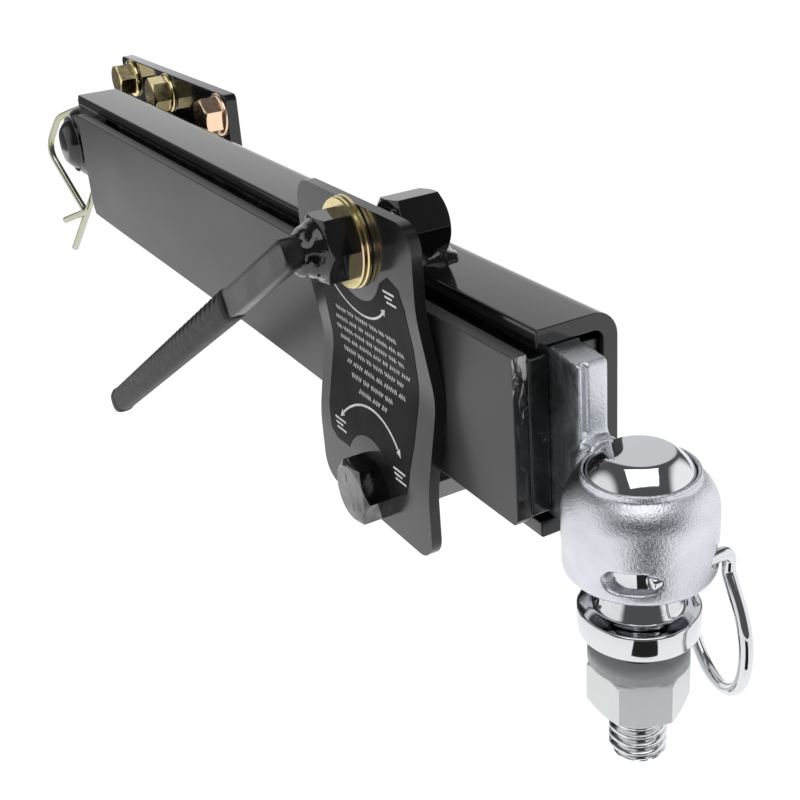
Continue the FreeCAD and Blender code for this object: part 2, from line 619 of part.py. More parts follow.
slot_z = size["ball_z"] + size["slot_drop"]
pin_x = size["slot_x"] + 3.0
ring_r, ring_mid = 17.7, Vector(9.7, 17.8, 0)
ring_across = Vector(0.953, -0.303, 0).normalize()
ring_end = ring_corners(ring_mid, ring_across, ring_r, 325, 340, 1)[0]
hitch_clip = wire("hitch_clip", [
    (pin_x, -9.5, slot_z), (pin_x, 15.6, slot_z, 3.0), (15.9, 15.5, 20.1, 3.5),
    *ring_corners(ring_mid, ring_across, ring_r, 38, 325, 5), ring_end[:3],
])

trailer_clip = wire("trailer_clip", [
    (-494.0, -11.7, -19.3), (-484.4, 12.3, 30.5, 8.0), (-482.0, 13.1, 64.0, 4.2),
    (-502.5, -5.2, 54.2, 9.0), (-508.0, -12.6, 37.0, 13.0), (-484.6, -4.0, 3.2, 2.3),
    (-497.0, -13.4, -2.6),
])

# ------------------------------------------------------------------ checks and export
NODES = [
    "hitch_ball", "hitch_lock_washer", "hitch_nut", "hitch_socket", "slide_bar", "hitch_clip",
    "housing_channel", "rear_friction_pad", "upper_clamp_nut", "lower_clamp_nut",
    "trailer_socket", "trailer_clip", "pressure_plate", "front_friction_pad", "yoke_plate",
    "instruction_label", "handle_bolt", "handle_washers", "handle_lever", "handle_grip",
    "adjusting_bolt", "bracket_plate", "trailer_ball", "bracket_screws",
]
doc.recompute()
for obj in doc.Objects:
    if "Invalid" in obj.State or "Error" in obj.State:
        raise RuntimeError(f"{obj.Label}: {obj.State}")

os.makedirs("parts", exist_ok=True)
for node in NODES:
    found = doc.getObjectsByLabel(node)
    if len(found) != 1:
        raise RuntimeError(f"{node}: {len(found)} objects have this label")
    shape = found[0].Shape
    if shape.isNull() or not shape.isValid():
        raise RuntimeError(f"{node}: its shape is not valid")
    shape.exportStep(f"parts/{node}.step")
    print(node, len(shape.Solids), round(shape.Volume, 1))
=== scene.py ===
import bmesh
import bpy
import math
from mathutils import Matrix, Vector, noise


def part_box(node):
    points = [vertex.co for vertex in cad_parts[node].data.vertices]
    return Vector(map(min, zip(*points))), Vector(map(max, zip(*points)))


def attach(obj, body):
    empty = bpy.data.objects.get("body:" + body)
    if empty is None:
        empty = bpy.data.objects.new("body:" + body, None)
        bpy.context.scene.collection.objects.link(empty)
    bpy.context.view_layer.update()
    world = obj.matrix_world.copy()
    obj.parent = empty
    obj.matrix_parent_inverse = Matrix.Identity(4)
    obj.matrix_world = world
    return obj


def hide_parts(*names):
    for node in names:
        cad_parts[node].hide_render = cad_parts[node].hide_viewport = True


# Looks of the friction sway-control bar. Lengths below are millimetres in the part's own
# frame: X along the bar towards the hitch ball, Y from the handle's side to the channel's
# back, Z up. They are turned into metres when a piece is made.

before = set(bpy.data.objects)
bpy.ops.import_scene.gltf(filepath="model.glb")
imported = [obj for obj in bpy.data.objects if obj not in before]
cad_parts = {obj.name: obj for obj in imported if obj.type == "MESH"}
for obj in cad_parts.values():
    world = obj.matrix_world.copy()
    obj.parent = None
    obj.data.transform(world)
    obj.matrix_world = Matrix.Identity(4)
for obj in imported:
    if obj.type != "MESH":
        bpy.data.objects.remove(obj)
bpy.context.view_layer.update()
scene = bpy.context.scene
TAU = 2 * math.pi


def span(node):
    """A CAD node's lowest and highest corner, in millimetres."""
    low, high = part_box(node)
    return Vector(low) * 1000, Vector(high) * 1000


# ------------------------------------------------------------------ materials
class Finish:
    """A Principled material under construction."""

    def __init__(self, name, colour, rough, metal=0.0, coat=0.0, coat_rough=0.03, shine=0.5):
        self.mat = bpy.data.materials.new(name)
        self.mat.use_nodes = True
        self.tree = self.mat.node_tree
        self.skin = self.tree.nodes["Principled BSDF"]
        self.skin.inputs["Base Color"].default_value = (*colour, 1)
        self.skin.inputs["Roughness"].default_value = rough
        self.skin.inputs["Metallic"].default_value = metal
        self.skin.inputs["Coat Weight"].default_value = coat
        self.skin.inputs["Coat Roughness"].default_value = coat_rough
        self.skin.inputs["Specular IOR Level"].default_value = shine
        self.where = self.node("ShaderNodeTexCoord").outputs["Object"]
        self.normal = None

    def node(self, kind, **settings):
        made = self.tree.nodes.new(kind)
        for key, value in settings.items():
            setattr(made, key, value)
        return made

    def link(self, a, b):
        self.tree.links.new(a, b)

    def noise(self, scale, detail=4.0, rough=0.55, stretch=(1, 1, 1), warp=0.0):
        """Noise with features about 1/scale metres across, drawn out along an axis by stretch."""
        place = self.node("ShaderNodeMapping")
        place.inputs["Scale"].default_value = stretch
        self.link(self.where, place.inputs["Vector"])
        made = self.node("ShaderNodeTexNoise")
        made.inputs["Scale"].default_value = scale
        made.inputs["Detail"].default_value = detail
        made.inputs["Roughness"].default_value = rough
        made.inputs["Distortion"].default_value = warp
        self.link(place.outputs["Vector"], made.inputs["Vector"])
        return made.outputs["Fac"]

    def ramp(self, value, *stops):
        """value turned into a colour; a stop is (place, brightness or colour)."""
        made = self.node("ShaderNodeValToRGB")
        spots = made.color_ramp.elements
        while len(spots) < len(stops):
            spots.new(0.5)
        for spot, (at, colour) in zip(spots, stops):
            spot.position = at
            tone = colour if isinstance(colour, tuple) else (colour, colour, colour)
            spot.color = (*tone, 1)
        self.link(value, made.inputs["Fac"])
        return made.outputs["Color"]

    def colour(self, value, *stops):
        self.link(self.ramp(value, *stops), self.skin.inputs["Base Color"])
        return self

    def rough(self, value, *stops):
        self.link(self.ramp(value, *stops), self.skin.inputs["Roughness"])
        return self

    def bump(self, value, height, strength=1.0):
        """Relief of about height millimetres from a value between 0 and 1."""
        made = self.node("ShaderNodeBump")
        made.inputs["Distance"].default_value = height / 1000
        made.inputs["Strength"].default_value = strength
        self.link(value, made.inputs["Height"])
        if self.normal:
            self.link(self.normal, made.inputs["Normal"])
        self.normal = made.outputs["Normal"]
        self.link(self.normal, self.skin.inputs["Normal"])
        return self

    def painted_edge_highlight(self, colour, size=0.35, amount=0.6):
        """Painted highlight: a lighter colour laid along sharp edges, in broken patches."""
        edge = self.node("ShaderNodeBevel")
        edge.inputs["Radius"].default_value = size / 1000
        edge.samples = 4
        geometry = self.node("ShaderNodeNewGeometry")
        dot = self.node("ShaderNodeVectorMath", operation="DOT_PRODUCT")
        self.link(edge.outputs["Normal"], dot.inputs[0])
        self.link(geometry.outputs["Normal"], dot.inputs[1])
        # This mask carries the painted edge highlight: the colour is made lighter along sharp
        # edges.
        edge_highlight_mask = self.ramp(dot.outputs["Value"], (0.9, 1.0), (0.995, 0.0))
        highlight_patches = self.ramp(self.noise(260, 5), (0.45, 0.0), (0.62, amount))
        both = self.node("ShaderNodeMath", operation="MULTIPLY")
        self.link(edge_highlight_mask, both.inputs[0])
        self.link(highlight_patches, both.inputs[1])
        mixer = self.node("ShaderNodeMix", data_type="RGBA")
        self.link(both.outputs[0], mixer.inputs["Factor"])
        under = self.skin.inputs["Base Color"]
        if under.links:
            self.link(under.links[0].from_socket, mixer.inputs["A"])
        else:
            mixer.inputs["A"].default_value = under.default_value
        mixer.inputs["B"].default_value = (*colour, 1)
        self.link(mixer.outputs["Result"], under)
        return self


def gloss_black():
    f = Finish("gloss_black", (0.006, 0.006, 0.0065), 0.12, coat=0.35)
    f.rough(f.noise(35, 3), (0.3, 0.07), (0.75, 0.16))
    f.bump(f.noise(420, 2), 0.05, 0.18)
    return f.painted_edge_highlight((0.05, 0.05, 0.05)).mat


def plate_black():
    f = Finish("plate_black", (0.06, 0.06, 0.059), 0.34, shine=0.3)
    f.rough(f.noise(22, 4, stretch=(0.4, 1, 1)), (0.3, 0.28), (0.75, 0.38))
    f.bump(f.noise(700, 2), 0.01, 0.1)
    return f.painted_edge_highlight((0.12, 0.12, 0.12)).mat


def yoke_black():
    f = Finish("yoke_black", (0.011, 0.011, 0.011), 0.16)
    f.rough(f.noise(30, 4), (0.3, 0.12), (0.75, 0.2))
    f.bump(f.noise(300, 2), 0.05, 0.15)
    return f.painted_edge_highlight((0.06, 0.06, 0.06)).mat


def lining():
    f = Finish("lining", (0.008, 0.008, 0.008), 0.2, coat=0.7, coat_rough=0.08)
    # Bright specks in the colour: real grit flecks, brightened further as painted glints.
    grit_and_glints = f.noise(330, 6, 0.7)
    f.colour(grit_and_glints, (0.6, 0.005), (0.66, 0.02), (0.7, 0.3))
    f.bump(f.noise(130, 3, 0.6, warp=0.6), 0.9, 0.6)
    f.bump(grit_and_glints, 0.35, 0.5)
    return f.mat


def plate_end():
    f = Finish("plate_end", (0.01, 0.01, 0.01), 0.16, coat=0.8, coat_rough=0.05, shine=0.3)
    # The bright specks in the colour are painted glints; the same noise also gives the end face
    # real relief in the bump.
    specks_and_glints = f.noise(230, 6, 0.72, stretch=(1, 1.3, 0.5), warp=0.8)
    # Painted highlight: the colour is lifted towards the top of the end face.
    high = f.node("ShaderNodeSeparateXYZ")
    f.link(f.where, high.inputs[0])
    lift = f.node("ShaderNodeMapRange")
    f.link(high.outputs["Z"], lift.inputs["Value"])
    lift.inputs["From Min"].default_value, lift.inputs["From Max"].default_value = 0.044, 0.07
    lift.inputs["To Min"].default_value, lift.inputs["To Max"].default_value = 0.0, 0.2
    both = f.node("ShaderNodeMath", operation="ADD")
    f.link(specks_and_glints, both.inputs[0])
    f.link(lift.outputs["Result"], both.inputs[1])
    f.colour(both.outputs[0], (0.62, 0.004), (0.67, 0.05), (0.72, 0.55))
    f.bump(specks_and_glints, 0.6, 0.7)
    return f.mat


def weld():
    f = Finish("weld", (0.005, 0.005, 0.0055), 0.06, coat=0.6)
    f.bump(f.noise(240, 3, 0.6, warp=1.0), 0.5, 0.45)
    return f.mat


def chrome():
    f = Finish("chrome", (0.68, 0.69, 0.71), 0.05, metal=1.0)
    f.rough(f.noise(120, 3), (0.3, 0.03), (0.8, 0.08))
    f.bump(f.noise(900, 2), 0.01, 0.12)
    return f.mat


def dark_chrome():
    f = Finish("dark_chrome", (0.2, 0.2, 0.2), 0.12, metal=1.0)
    f.colour(f.noise(60, 3), (0.35, 0.05), (0.5, 0.16), (0.7, 0.26))
    f.rough(f.noise(240, 4), (0.3, 0.09), (0.8, 0.2))
    f.bump(f.noise(600, 3), 0.03, 0.2)
    return f.mat


def bright_zinc():
    f = Finish("bright_zinc", (0.85, 0.88, 0.87), 0.34, metal=0.15)
    f.colour(f.noise(160, 4), (0.3, (0.82, 0.86, 0.85)), (0.75, (0.88, 0.91, 0.9)))
    f.bump(f.noise(900, 3), 0.01, 0.15)
    return f.mat


def thread_steel():
    f = Finish("thread_steel", (0.72, 0.73, 0.74), 0.16, metal=1.0)
    f.rough(f.noise(260, 4), (0.3, 0.1), (0.8, 0.24))
    f.bump(f.noise(1100, 2), 0.02, 0.15)
    return f.mat


def washer_grey():
    f = Finish("washer_grey", (0.36, 0.385, 0.38), 0.5)
    f.colour(f.noise(220, 4), (0.3, (0.34, 0.365, 0.36)), (0.75, (0.42, 0.445, 0.44)))
    f.bump(f.noise(800, 4), 0.05, 0.3)
    return f.mat


def casting():
    f = Finish("casting", (0.5, 0.52, 0.56), 0.3, metal=1.0)
    grain = f.noise(1500, 3, 0.7)
    f.colour(f.noise(70, 4, 0.6), (0.3, (0.58, 0.6, 0.64)), (0.7, (0.7, 0.72, 0.76)))
    f.rough(f.noise(95, 4), (0.35, 0.2), (0.7, 0.31))
    f.bump(grain, 0.22, 0.75)
    f.bump(f.noise(220, 3), 0.1, 0.15)
    return f.mat


def bar_side():
    f = Finish("bar_side", (0.22, 0.235, 0.25), 0.42, metal=0.85)
    stain = f.noise(110, 6, 0.65, stretch=(1, 1, 0.6), warp=0.7)
    f.colour(stain, (0.36, (0.045, 0.05, 0.052)), (0.5, (0.13, 0.145, 0.15)),
             (0.66, (0.3, 0.33, 0.35)))
    f.rough(stain, (0.35, 0.55), (0.7, 0.3))
    f.bump(f.noise(700, 5, 0.65), 0.12, 0.4)
    return f.mat


def yellow_zinc():
    f = Finish("yellow_zinc", (0.6, 0.52, 0.3), 0.22, metal=1.0)
    f.colour(f.noise(140, 4, warp=0.8), (0.3, (0.8, 0.58, 0.26)), (0.48, (0.78, 0.7, 0.36)),
             (0.62, (0.86, 0.6, 0.42)), (0.78, (0.66, 0.6, 0.34)))
    f.rough(f.noise(400, 4), (0.3, 0.14), (0.8, 0.3))
    f.bump(f.noise(900, 3), 0.02, 0.2)
    return f.mat


def pink_zinc():
    f = Finish("pink_zinc", (0.7, 0.5, 0.36), 0.26, metal=1.0)
    f.colour(f.noise(120, 4, warp=0.9), (0.32, (0.86, 0.6, 0.36)), (0.47, (0.95, 0.68, 0.52)),
             (0.6, (0.85, 0.66, 0.36)), (0.76, (0.6, 0.36, 0.2)))
    f.rough(f.noise(400, 4), (0.3, 0.16), (0.8, 0.34))
    f.bump(f.noise(900, 3), 0.03, 0.25)
    return f.mat


def clip_yellow():
    f = Finish("clip_yellow", (0.6, 0.6, 0.4), 0.2, metal=1.0)
    f.colour(f.noise(90, 3), (0.35, (0.52, 0.53, 0.48)), (0.65, (0.5, 0.5, 0.34)))
    f.bump(f.noise(900, 2), 0.01, 0.2)
    return f.mat


def lever_black():
    f = Finish("lever_black", (0.007, 0.007, 0.007), 0.3, shine=0.3)
    f.rough(f.noise(90, 4), (0.3, 0.24), (0.8, 0.38))
    f.bump(f.noise(900, 3), 0.02, 0.2)
    return f.painted_edge_highlight((0.05, 0.05, 0.05)).mat


def grip_black():
    f = Finish("grip_black", (0.014, 0.014, 0.013), 0.45, shine=0.16)
    f.colour(f.noise(150, 4), (0.3, 0.011), (0.75, 0.018))
    f.rough(f.noise(320, 4), (0.3, 0.42), (0.8, 0.55))
    f.bump(f.noise(1300, 3), 0.04, 0.3)
    return f.mat


def label_black():
    f = Finish("label_black", (0.008, 0.0075, 0.0078), 0.5, shine=0.1)
    f.rough(f.noise(60, 3), (0.3, 0.45), (0.8, 0.58))
    f.bump(f.noise(1500, 2), 0.01, 0.2)
    return f.mat


def label_white():
    f = Finish("label_white", (0.72, 0.72, 0.71), 0.55)
    f.colour(f.noise(700, 3), (0.3, 0.55), (0.6, 0.85))
    f.bump(f.noise(1500, 2), 0.01, 0.2)
    return f.mat


LOOK = {make.__name__: make() for make in (
    gloss_black, plate_black, yoke_black, lining, plate_end, weld, chrome, dark_chrome,
    bright_zinc, thread_steel, washer_grey, casting, bar_side, yellow_zinc, pink_zinc,
    clip_yellow, lever_black, grip_black, label_black, label_white)}


# ------------------------------------------------------------------ building pieces
def keep(name, bm, body, look, stands_for=(), bevel=0.0, sharp=35, extra=()):
    """Turns a bmesh in millimetres into a piece that rides on a body."""
    bmesh.ops.recalc_face_normals(bm, faces=bm.faces)
    bmesh.ops.scale(bm, vec=(0.001, 0.001, 0.001), verts=bm.verts)
    mesh = bpy.data.meshes.new(name)
    bm.to_mesh(mesh)
    bm.free()
    for key in (look, *extra):
        mesh.materials.append(LOOK[key])
    mesh.shade_smooth()
    mesh.set_sharp_from_angle(angle=math.radians(sharp))
    obj = bpy.data.objects.new(name, mesh)
    scene.collection.objects.link(obj)
    if bevel:
        soften = obj.modifiers.new("soften", "BEVEL")
        soften.width = bevel / 1000
        soften.segments = 3
        soften.limit_method = "ANGLE"
        soften.angle_limit = math.radians(sharp)
        soften.harden_normals = True
    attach(obj, body)
    if stands_for:
        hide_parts(*stands_for)
    return obj


def move(bm, matrix, verts=None):
    bmesh.ops.transform(bm, matrix=matrix, verts=verts or bm.verts)
    return bm


def skin(bm, rings, steps=96, ring_closed=False):
    """Rings of (height, radius) round Z, joined up. A radius may be a function of angle.

    The ends are capped, or the last ring is joined to the first.
    """
    made = []
    for z, r in rings:
        row = []
        for i in range(steps):
            a = TAU * i / steps
            radius = r(a) if callable(r) else r
            row.append(bm.verts.new((radius * math.cos(a), radius * math.sin(a), z)))
        made.append(row)
    pairs = list(zip(made, made[1:]))
    if ring_closed:
        pairs.append((made[-1], made[0]))
    else:
        bm.faces.new(made[0][::-1])
        bm.faces.new(made[-1])
    for low, high in pairs:
        for i in range(steps):
            j = (i + 1) % steps
            bm.faces.new((low[i], low[j], high[j], high[i]))
    return bm


def turned(profile, steps=96, ring_closed=False):
    """A solid of revolution round Z through (radius, height) points."""
    return skin(bmesh.new(), [(z, r) for r, z in profile], steps, ring_closed)


def hexed(flats, low, high, chamfer_low=True, bore=0.0, steps=96, round_r=0.97):
    """A hexagon with turned corners, and a corner towards +X."""
    half = flats / 2
    reach = (2 / math.sqrt(3) - round_r) * half / math.sqrt(3)
    rises = [0, 0.08, 0.2, 0.35, 0.5, 0.7, 0.85, 1.0]
    levels = [(low + reach * s, s) for s in rises] + [(high - reach * s, s) for s in rises[::-1]]

    def side(z, s, cut):
        limit = half * round_r + s * reach * math.sqrt(3) if cut else 1e9

        def radius(a):
            turn = a % (math.pi / 3) - math.pi / 6
            return min(half / math.cos(turn), limit)
        return (z, radius)

    rings = [side(z, s, chamfer_low or i >= len(rises)) for i, (z, s) in enumerate(levels)]
    if bore:
        rings += [(high, bore + 0.8), (high - 0.8, bore), (low + 0.8, bore), (low, bore + 0.8)]
    return skin(bmesh.new(), rings, steps, ring_closed=bool(bore))


def threaded(major, pitch, low, high, tip=0.0, steps=72, per_turn=14):
    """A rod with a real screw thread between two heights, tapering at its low end."""
    depth = 0.54 * pitch
    count = max(int((high - low) / pitch * per_turn), 4)
    rings = []
    for k in range(count + 1):
        z = low + (high - low) * k / count
        limit = major - max(0.0, tip - (z - low))

        def radius(a, z=z, limit=limit):
            t = (z / pitch - a / TAU) % 1.0
            wave = 1 - abs(2 * t - 1)
            tooth = min(max((wave - 0.14) / 0.66, 0.0), 1.0)
            return min(major - depth + depth * tooth, limit)
        rings.append((z, radius))
    return skin(bmesh.new(), rings, steps)


def prism(outline, low, high, axis="y"):
    """An outline pushed along y or x. Its corners are (x, z) for y and (y, z) for x."""
    put = {"y": lambda u, v, w: (u, w, v), "x": lambda u, v, w: (w, u, v)}[axis]
    bm = bmesh.new()
    a = [bm.verts.new(put(u, v, low)) for u, v in outline]
    b = [bm.verts.new(put(u, v, high)) for u, v in outline]
    bm.faces.new(a)
    bm.faces.new(b[::-1])
    for i in range(len(outline)):
        j = (i + 1) % len(outline)
        bm.faces.new((a[j], a[i], b[i], b[j]))
    return bm


def brick(low, high):
    """A box between two corners."""
    low, high = Vector(low), Vector(high)
    bm = bmesh.new()
    bmesh.ops.create_cube(bm, size=1.0)
    middle, size = (low + high) / 2, high - low
    for v in bm.verts:
        v.co = Vector((v.co.x * size.x, v.co.y * size.y, v.co.z * size.z)) + middle
    return bm


def rounded(corners, radii, steps=6):
    """A polygon with each corner replaced by an arc of its own radius."""
    out = []
    count = len(corners)
    for i, corner in enumerate(corners):
        here = Vector(corner)
        back = (Vector(corners[i - 1]) - here).normalized()
        on = (Vector(corners[(i + 1) % count]) - here).normalized()
        r = radii[i] if isinstance(radii, (list, tuple)) else radii
        half = back.angle(on) / 2
        if r <= 0 or half > math.pi / 2 - 0.02:
            out.append(tuple(here))
            continue
        centre = here + (back + on).normalized() * (r / math.sin(half))
        start = here + back * (r / math.tan(half)) - centre
        end = here + on * (r / math.tan(half)) - centre
        for k in range(steps + 1):
            arm = start.slerp(end, k / steps)
            out.append(tuple(centre + arm.normalized() * r))
    return out


def merge(*parts):
    """Several bmeshes as one."""
    whole = bmesh.new()
    for part in parts:
        mesh = bpy.data.meshes.new("part")
        part.to_mesh(mesh)
        part.free()
        whole.from_mesh(mesh)
        bpy.data.meshes.remove(mesh)
    return whole


def cast(parts, cutters, voxel=0.55, smooth=4):
    """Overlapping shells melted into one casting, then cut, as a bmesh in millimetres."""
    def loose(bm, name):
        bmesh.ops.recalc_face_normals(bm, faces=bm.faces)
        mesh = bpy.data.meshes.new(name)
        bm.to_mesh(mesh)
        bm.free()
        obj = bpy.data.objects.new(name, mesh)
        scene.collection.objects.link(obj)
        return obj

    base = loose(parts[0], "cast_base")
    others = [loose(part, "cast_part") for part in parts[1:]]
    tools = [loose(cutter, "cast_tool") for cutter in cutters]
    for other, act in [(o, "UNION") for o in others] + [(t, "DIFFERENCE") for t in tools]:
        step = base.modifiers.new("step", "BOOLEAN")
        step.operation, step.object, step.solver = act, other, "EXACT"
    melt = base.modifiers.new("melt", "REMESH")
    melt.mode, melt.voxel_size = "VOXEL", voxel
    ease = base.modifiers.new("ease", "SMOOTH")
    ease.iterations, ease.factor = smooth, 0.5
    graph = bpy.context.evaluated_depsgraph_get()
    result = bpy.data.meshes.new_from_object(base.evaluated_get(graph))
    bm = bmesh.new()
    bm.from_mesh(result)
    for obj in (base, *others, *tools):
        bpy.data.objects.remove(obj)
    bpy.data.meshes.remove(result)
    return bm


def bent(corners):
    """Points along a wire bent at its corners.

    A corner is a point and a bend radius. The two ends have no radius.
    """
    line = [Vector(corners[0])]
    for before, corner, after in zip(corners, corners[1:], corners[2:]):
        here, r = Vector(corner[:3]), corner[3]
        back = (Vector(before[:3]) - here).normalized()
        on = (Vector(after[:3]) - here).normalized()
        half = back.angle(on) / 2
        centre = here + (back + on).normalized() * (r / math.sin(half))
        start = here + back * (r / math.tan(half)) - centre
        end = here + on * (r / math.tan(half)) - centre
        steps = max(4, round((math.pi - 2 * half) / math.radians(9)))
        line += [centre + start.slerp(end, k / steps).normalized() * r for k in range(steps + 1)]
    line.append(Vector(corners[-1]))
    return [p for i, p in enumerate(line) if i == 0 or (p - line[i - 1]).length > 0.02]


def swept(line, r, around=20):
    """Round wire along points, its two cut ends slightly rounded."""
    bm = bmesh.new()
    rows = []
    side = (line[1] - line[0]).orthogonal().normalized()
    for i, p in enumerate(line):
        along = (line[min(i + 1, len(line) - 1)] - line[max(i - 1, 0)]).normalized()
        side = (side - along * side.dot(along)).normalized()
        other = along.cross(side)
        ends = [(0, 1.0)]
        if i == 0:
            ends = [(-0.3 * r, 0.62), (-0.18 * r, 0.9), (0, 1.0)]
        elif i == len(line) - 1:
            ends = [(0, 1.0), (0.18 * r, 0.9), (0.3 * r, 0.62)]
        for push, scale in ends:
            rows.append([bm.verts.new(p + along * push + r * scale * (
                side * math.cos(TAU * k / around) + other * math.sin(TAU * k / around)))
                for k in range(around)])
    bm.faces.new(rows[0][::-1])
    bm.faces.new(rows[-1])
    for low, high in zip(rows, rows[1:]):
        for k in range(around):
            j = (k + 1) % around
            bm.faces.new((low[k], low[j], high[j], high[k]))
    return bm


def ring_corners(middle, across, r, first, last, arcs):
    """Corners round a ring, by clock angles that are 0 at the top and turn towards across."""
    each = math.radians(last - first) / arcs
    out = []
    for i in range(arcs):
        a = math.radians(first) + each * (i + 0.5)
        reach = r / math.cos(each / 2)
        spot = middle + across * (reach * math.sin(a)) + Vector((0, 0, reach * math.cos(a)))
        out.append((*spot, r))
    return out


# Turns a piece built up along Z to stand towards -Y, the handle's side.
FORWARD = Matrix.Rotation(math.radians(90), 4, "X")


# ------------------------------------------------------------------ hitch ball and its nut
BALL_Z, BALL_R, FLAT, NECK, FLANGE_R, FLANGE_T = 39.5, 15.875, 13.4, 7.5, 16.3, 8.1
FAR = Vector((-468, 0, 46.1))  # middle of the trailer end's ball
UPPER = Vector((-101.5, 0, 86.9))  # axis of the handle's bolt
LOWER = Vector((-101.5, 0, 5.3))  # axis of the adjusting bolt
BOLT_R, BOLT_PITCH, BOLT_END = 6.29, 1.954, -28.5


def ball_profile(end):
    """Half outline of ball, neck and flange, from the flat top down."""
    pts = [(0.02, BALL_Z + FLAT), (7.9, BALL_Z + FLAT), (8.35, BALL_Z + FLAT - 0.08)]
    first = math.asin((FLAT - 0.35) / BALL_R)
    last = -math.acos(NECK / BALL_R)
    for k in range(41):
        a = first + (last - first) * k / 40
        pts.append((BALL_R * math.cos(a), BALL_Z + BALL_R * math.sin(a)))
    pts += [(NECK, 24.6), (NECK, 20.5), (7.65, 18.6), (8.1, 16.6), (8.9, 14.3), (9.9, 12.0),
            (10.6, 10.3), (11.0, 9.0), (11.4, 8.4), (12.2, 8.15), (13.2, 8.1),
            (FLANGE_R - 0.7, FLANGE_T), (FLANGE_R - 0.2, 7.95), (FLANGE_R, 7.5),
            (FLANGE_R, 1.7), (FLANGE_R - 0.25, 0.9), (FLANGE_R - 1.0, 0.15),
            (FLANGE_R - 1.8, 0.0)]
    return pts + end


def hitch_ball():
    stud_end = span("hitch_ball")[0].z
    body = turned(ball_profile([(8.4, 0.0), (7.6, -0.4), (7.6, -2.2), (0.02, -2.2)]), 128)
    screw = threaded(7.93, 2.9, stud_end, -1.0, tip=1.5)
    keep("ball_and_stud", body, "hitch", "chrome", ["hitch_ball"], sharp=50)
    keep("ball_stud_thread", screw, "hitch", "thread_steel", sharp=60)


def ball_hardware():
    low, high = span("hitch_lock_washer")
    rings = [(8.2, low.z + 0.3), (8.5, low.z), (12.9, low.z), (13.6, low.z + 0.7),
             (13.6, high.z - 1.1), (13.1, high.z - 0.35), (12.3, high.z), (8.6, high.z),
             (8.2, high.z - 0.4)]
    washer = turned(rings, 96, ring_closed=True)
    split = brick((6, -0.7, low.z - 1), (16, 0.7, high.z + 1))
    move(split, Matrix.Rotation(math.radians(140), 4, "Z"))
    ring = cast([washer], [split], voxel=0.3, smooth=2)
    keep("lock_washer", ring, "hitch", "washer_grey", ["hitch_lock_washer"],
         sharp=50)
    low, high = span("hitch_nut")
    nut = hexed(24.2, low.z, high.z, bore=7.96)
    keep("ball_nut", nut, "hitch", "bright_zinc", ["hitch_nut"], bevel=0.25,
         sharp=25)


# ------------------------------------------------------------------ sockets and bar
# Heights of the cup's open foot and of its upper rim from the ball's middle, and the radius
# of the seat that the ball turns in.
FOOT, RIM, SEAT_R = -19.8, 8.8, 16.03


def cup():
    """The socket's cup as a solid dome about the ball's middle at height 0."""
    outside = [(0.02, FOOT), (18.4, FOOT), (19.3, FOOT + 0.4), (19.8, FOOT + 1.2),
               (20, FOOT + 2.4), (20, FOOT + 6), (20, -5.0), (19.97, -2.5)]
    for k in range(1, 8):
        a = math.radians(2 + 66 * k / 8)
        outside.append((9.3 + 10.7 * math.cos(a), -2.4 + 10.9 * math.sin(a)))
    return turned(outside + [(15.3, RIM - 0.5), (15.0, RIM), (0.02, RIM)], 128)


def bore():
    """What is cut out of a cup: its mouth, the ball's seat and the throat over it."""
    seat = [(0.02, FOOT - 3), (17.2, FOOT - 3), (SEAT_R, FOOT + 1.0), (SEAT_R, -2.0)]
    for k in range(13):
        h = 8.0 * k / 12
        seat.append((math.sqrt(SEAT_R ** 2 - h * h), h))
    throat = [(14.1, RIM - 0.3), (14.3, RIM + 0.2), (14.3, RIM + 4), (0.02, RIM + 4)]
    return turned(seat + throat, 128)


def capsule(x, z, width, height, deep):
    """A slot cutter with round ends, pushed right through along Y."""
    flat = width / 2 - height / 2
    pts = [(x + side * flat + math.cos(a) * height / 2, z + math.sin(a) * height / 2)
           for side, start in ((1, -90), (-1, 90))
           for a in [math.radians(start + 180 * k / 12) for k in range(13)]]
    return prism(pts, -deep, deep)


def hitch_socket():
    low, high = span("slide_bar")
    lift = Matrix.Translation((0, 0, BALL_Z))
    arm = prism(rounded([(-31.5, low.z), (-12.5, low.z), (-12.5, 46.0), (-18.8, 47.5),
                         (-18.8, high.z - 1.6), (-31.5, high.z)],
                        [0, 0, 0, 5, 1.6, 0], 8), -4.8, 4.8)
    flare = turned([(0.1, 30), (9, 31), (9, 44), (7.5, 46.5), (5.5, 49), (0.1, 50)], 48)
    move(flare, Matrix.Translation((-15.5, 0, 0)) @ Matrix.Diagonal((1, 0.75, 1, 1)))
    slot = capsule(13.1, 26.4, 10.4, 6.0, 26)
    groove = brick((-20.3, -3.3, 50.3), (-18.2, -1.9, 90))
    block = cast([move(cup(), lift), arm, flare], [move(bore(), lift), slot, groove], 0.5, 4)
    for face in block.faces:
        centre = face.calc_center_median()
        if face.normal.y < -0.7 and centre.x < -18.5 and centre.y < -4.4:
            face.material_index = 1
    keep("hitch_socket_casting", block, "bar", "casting", ["hitch_socket"],
         extra=["bar_side"], sharp=60)
    blade = prism(rounded([(low.x, low.z), (high.x + 0.6, low.z), (high.x + 0.6, high.z),
                           (low.x, high.z)], [2, 0, 0, 2]), -4.79, 4.79)
    keep("slide_bar_blade", blade, "bar", "bar_side", ["slide_bar"], bevel=0.5)


def trailer_socket():
    lay = Matrix.Translation((FAR.x, 0, FAR.z)) @ FORWARD
    tang = brick((-455, -4.8, 20.1), (-408, 4.8, 72.1))
    slot = move(capsule(-13.1, -13.1, 10.4, 6.0, 26), lay)
    block = cast([move(cup(), lay), tang], [move(bore(), lay), slot], 0.6, 4)
    keep("trailer_socket_casting", block, "housing", "weld", ["trailer_socket"],
         sharp=60)


